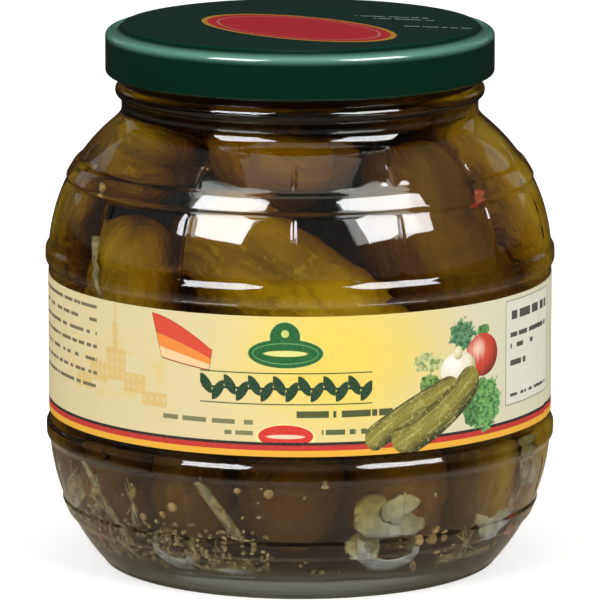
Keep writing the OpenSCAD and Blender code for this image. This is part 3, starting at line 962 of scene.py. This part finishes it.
def tube(bm, points, radii, sides=6):
    """A closed stalk along a row of points in millimetres."""
    rings, last = [], len(points) - 1
    for k, (point, radius) in enumerate(zip(points, radii)):
        way = points[min(k + 1, last)] - points[max(k - 1, 0)]
        turn = way.to_track_quat("Z", "Y").to_matrix().to_4x4()
        made = bmesh.ops.create_circle(bm, cap_ends=k in (0, last), segments=sides,
                                       radius=radius * MM,
                                       matrix=Matrix.Translation(point * MM) @ turn)["verts"]
        rings.append(list({e for v in made for e in v.link_edges}))
    for a, b in zip(rings, rings[1:]):
        bmesh.ops.bridge_loops(bm, edges=a + b)


def flesh(name, dark, light, scale, rough=0.45):
    look = Look(name)
    x, y, z = look.place()
    grain = look.noise(look.vector(x, y, z), scale, 3.0)
    colour = look.mix(grain.ramp(0.35, 0.65), dark, light)
    return look.finish(look.node("BsdfPrincipled", None, {
        "Base Color": colour, "Roughness": rough, "Specular IOR Level": 0.25,
        "Normal": look.bump(grain, 0.3)}))


dice = random.Random(11)


def near_glass(azimuth, z, depth=1.2):
    """A point just inside the glass."""
    a, r = math.radians(azimuth), inner_r(z) - depth
    return Vector((math.sin(a) * r, -math.cos(a) * r, z))


def seat(bm, verts, azimuth, z, depth, roll, tilt=0.0):
    """Turns a small part made about the origin, its back to -Y, to lie along the glass."""
    a = math.radians(azimuth)
    slope = math.atan2(inner_r(z + 2) - inner_r(z - 2), 4.0)
    turn = (Matrix.Rotation(a, 4, "Z") @ Matrix.Rotation(-slope + tilt, 4, "X")
            @ Matrix.Rotation(roll, 4, "Y"))
    bmesh.ops.transform(bm, matrix=Matrix.Translation(near_glass(azimuth, z, depth) * MM) @ turn,
                        verts=verts)
    for v in verts:
        v.co = inside(v.co / MM, 0.4) * MM
    faces = list({f for v in verts for f in v.link_faces})
    bmesh.ops.recalc_face_normals(bm, faces=faces)
    heart = sum((v.co for v in verts), Vector()) / len(verts)
    filled = 0.0
    for f in faces:
        f.normal_update()
        filled += (f.calc_center_median() - heart).dot(f.normal) * f.calc_area()
    if filled < 0:
        bmesh.ops.reverse_faces(bm, faces=faces)


def onion_bm():
    """Curved slices of onion scale, and a few thin hollow rings."""
    bm = bmesh.new()
    for azimuth, z, wide, high, roll in (
            (23, 20.5, 8.6, 4.4, 0.25), (26, 23, 5.0, 2.2, -0.5), (16, 14, 3.6, 3.0, 0.8),
            (60, 18, 8.0, 4.5, -0.4),
            (72, 26, 6.0, 4.0, 0.5), (110, 20, 7.0, 4.0, 0.2), (160, 16, 8.0, 4.0, -0.3),
            (215, 22, 8.0, 3.6, 0.4), (255, 12, 6.0, 3.0, 0.1), (-72, 20, 6.0, 3.4, -0.6),
            (-20, 9, 6.0, 3.0, 0.6), (150, 92, 6.0, 3.0, 0.3), (200, 96, 7.0, 2.6, -0.4)):
        before = set(bm.verts)
        bmesh.ops.create_grid(bm, x_segments=14, y_segments=8, size=1.0)
        made = [v for v in bm.verts if v not in before]
        for v in made:
            # a square patch drawn in to a rounded one with a torn edge
            torn = 1 + 0.16 * noise.noise(Vector((v.co.x * 2, v.co.y * 2, azimuth * 0.37)))
            x = v.co.x * math.sqrt(1 - 0.42 * v.co.y ** 2) * wide * torn
            h = v.co.y * math.sqrt(1 - 0.42 * v.co.x ** 2) * high * torn * (1 - v.co.x * 0.2)
            v.co = Vector((x, x * x / 26.0 + h * h / 40.0, h)) * MM
        faces = list({f for v in made for f in v.link_faces})
        bmesh.ops.solidify(bm, geom=faces, thickness=-1.3 * MM)
        verts = [v for v in bm.verts if v not in before]
        seat(bm, verts, azimuth, z, 2.6, roll)
    for azimuth, z, size, roll in ((23, 13.5, 6.8, 0.3), (-35, 12, 5.0, 1.0), (185, 14, 6.0, 0.5)):
        before = set(bm.verts)
        loop = [bm.verts.new(((size + dr) * MM, 0, dz * MM))
                for dr, dz in ((-0.7, -1.6), (0.7, -1.6), (0.9, 1.6), (-0.6, 1.6))]
        edges = [bm.edges.new((a, b)) for a, b in zip(loop, loop[1:] + loop[:1])]
        bmesh.ops.spin(bm, geom=loop + edges, cent=(0, 0, 0), axis=(0, 0, 1), dvec=(0, 0, 0),
                       angle=math.tau, steps=32, use_merge=True, use_duplicate=False)
        verts = [v for v in bm.verts if v not in before]
        bmesh.ops.scale(bm, verts=verts, vec=(1, 0.88, 1))
        bmesh.ops.rotate(bm, verts=verts, cent=(0, 0, 0), matrix=Matrix.Rotation(1.25, 3, "X"))
        seat(bm, verts, azimuth, z, 3.2, roll)
    return bm


piece("onion_slices", onion_bm(), flesh("onion_flesh", (0.25, 0.235, 0.27, 1),
                                       (0.42, 0.39, 0.46, 1), 0.35, 0.3), "brine")


def dill_bm():
    """Cut dill: ribbed stalks, side shoots, and tufts of thread-like leaf."""
    bm = bmesh.new()
    for (a0, z0), (a1, z1), r in (
            ((-25, 30), (-14, 15), 1.3), ((-58, 82), (-53, 68), 0.9), ((-62, 30), (-48, 12), 1.0),
            ((40, 9), (62, 9), 0.9), ((120, 12), (150, 30), 1.2), ((200, 30), (188, 10), 1.0),
            ((250, 28), (262, 14), 1.1)):
        points = [near_glass(a0 + (a1 - a0) * t, z0 + (z1 - z0) * t, r + 0.6)
                  for t in (0, 0.2, 0.4, 0.6, 0.8, 1)]
        tube(bm, points, [r * 0.9, r, r * 0.96, r, r * 0.9, r * 0.8], 8)
    for azimuth, z in (
            (-58, 20), (-66, 15), (-44, 22), (-36, 12), (-52, 12), (-70, 24), (-80, 16), (48, 12),
            (66, 22), (96, 12), (124, 22), (146, 14), (176, 24), (206, 12), (232, 24), (256, 20),
            (-88, 22), (-78, 12), (-24, 9), (-30, 10)):
        heart = near_glass(azimuth, z, 1.6)
        for _ in range(9):
            lean = dice.uniform(-1.2, 1.2)
            side = Vector((math.cos(math.radians(azimuth)), math.sin(math.radians(azimuth)), 0))
            way = side * math.sin(lean) + Vector((0, 0, math.cos(lean) * dice.choice((-1, 1))))
            length = dice.uniform(3.0, 6.5)
            bend = side * dice.uniform(-1.6, 1.6)
            points = [inside(heart + way * length * t + bend * t * t, 0.7)
                      for t in (0.0, 0.35, 0.7, 1.0)]
            tube(bm, points, [0.34, 0.3, 0.26, 0.12], 5)
    bmesh.ops.recalc_face_normals(bm, faces=bm.faces)
    return bm


piece("dill", dill_bm(), flesh("dill_leaf", (0.12, 0.095, 0.05, 1), (0.32, 0.24, 0.15, 1), 0.5,
                               0.5), "brine")


def scattered(count, low, high, size, flat, low_share, spread=(-180, 180)):
    """Small seeds or flecks along the glass; those past low_share lie up at the shoulder."""
    bm = bmesh.new()
    for _ in range(count):
        azimuth = dice.uniform(*spread)
        z = dice.uniform(low, high) if dice.random() < low_share else dice.uniform(76, 104)
        made = bmesh.ops.create_uvsphere(bm, u_segments=9, v_segments=6, radius=1.0)["verts"]
        r = size * dice.uniform(0.8, 1.15)
        turn = Matrix.Rotation(dice.uniform(0, 3.1), 4, "Y") @ Matrix.Rotation(
            dice.uniform(0, 3.1), 4, "Z")
        place = Matrix.Translation(near_glass(azimuth, z, r + 0.5) * MM)
        shape = Matrix.Diagonal((r * MM, r * MM * flat, r * MM * (0.6 if flat < 1 else 1), 1))
        bmesh.ops.transform(bm, matrix=place @ turn @ shape, verts=made)
    return bm


piece("mustard_seeds", scattered(26, 8, 30, 1.05, 1.0, 0.9),
      flesh("seed_coat", (0.30, 0.17, 0.07, 1), (0.46, 0.30, 0.16, 1), 0.6), "brine")
piece("dill_seeds", scattered(40, 8, 29, 1.5, 0.55, 0.85),
      flesh("seed_husk", (0.20, 0.11, 0.035, 1), (0.46, 0.30, 0.13, 1), 0.8), "brine")


def fleck_bm():
    """Crumbs of spice and herb that have sunk, thickest on one side of the floor."""
    bm = scattered(260, 7.5, 19, 0.8, 0.7, 1.0, (-85, -8))
    for other in (scattered(90, 7.5, 14, 0.7, 0.7, 1.0), scattered(60, 10, 30, 0.55, 0.6, 0.9)):
        mesh = bpy.data.meshes.new("crumbs")
        other.to_mesh(mesh)
        other.free()
        bm.from_mesh(mesh)
        bpy.data.meshes.remove(mesh)
    return bm


piece("spice_flecks", fleck_bm(), flesh("crumb", (0.10, 0.065, 0.03, 1),
                                       (0.38, 0.27, 0.15, 1), 0.45), "brine")


def pepper_bm():
    bm = bmesh.new()
    for azimuth, z, wide, high, roll in ((51, 90, 1.6, 2.1, 0.3), (-64, 12, 1.6, 2.2, 0.9),
                                         (170, 84, 2.4, 2.0, 0.2), (70, 12, 2.0, 1.6, 0.7),
                                         (-150, 20, 2.0, 2.6, 1.1)):
        before = set(bm.verts)
        bmesh.ops.create_grid(bm, x_segments=8, y_segments=8, size=1.0)
        made = [v for v in bm.verts if v not in before]
        for v in made:
            x, h = v.co.x * wide, v.co.y * high
            v.co = Vector((x, x * x / 9.0 + h * h / 18.0, h)) * MM
        bmesh.ops.solidify(bm, geom=list({f for v in made for f in v.link_faces}),
                           thickness=-1.2 * MM)
        seat(bm, [v for v in bm.verts if v not in before], azimuth, z, 2.2, roll)
    return bm


piece("red_pepper", pepper_bm(), flesh("pepper_flesh", (0.34, 0.035, 0.012, 1),
                                       (0.45, 0.09, 0.03, 1), 0.5, 0.3), "brine")
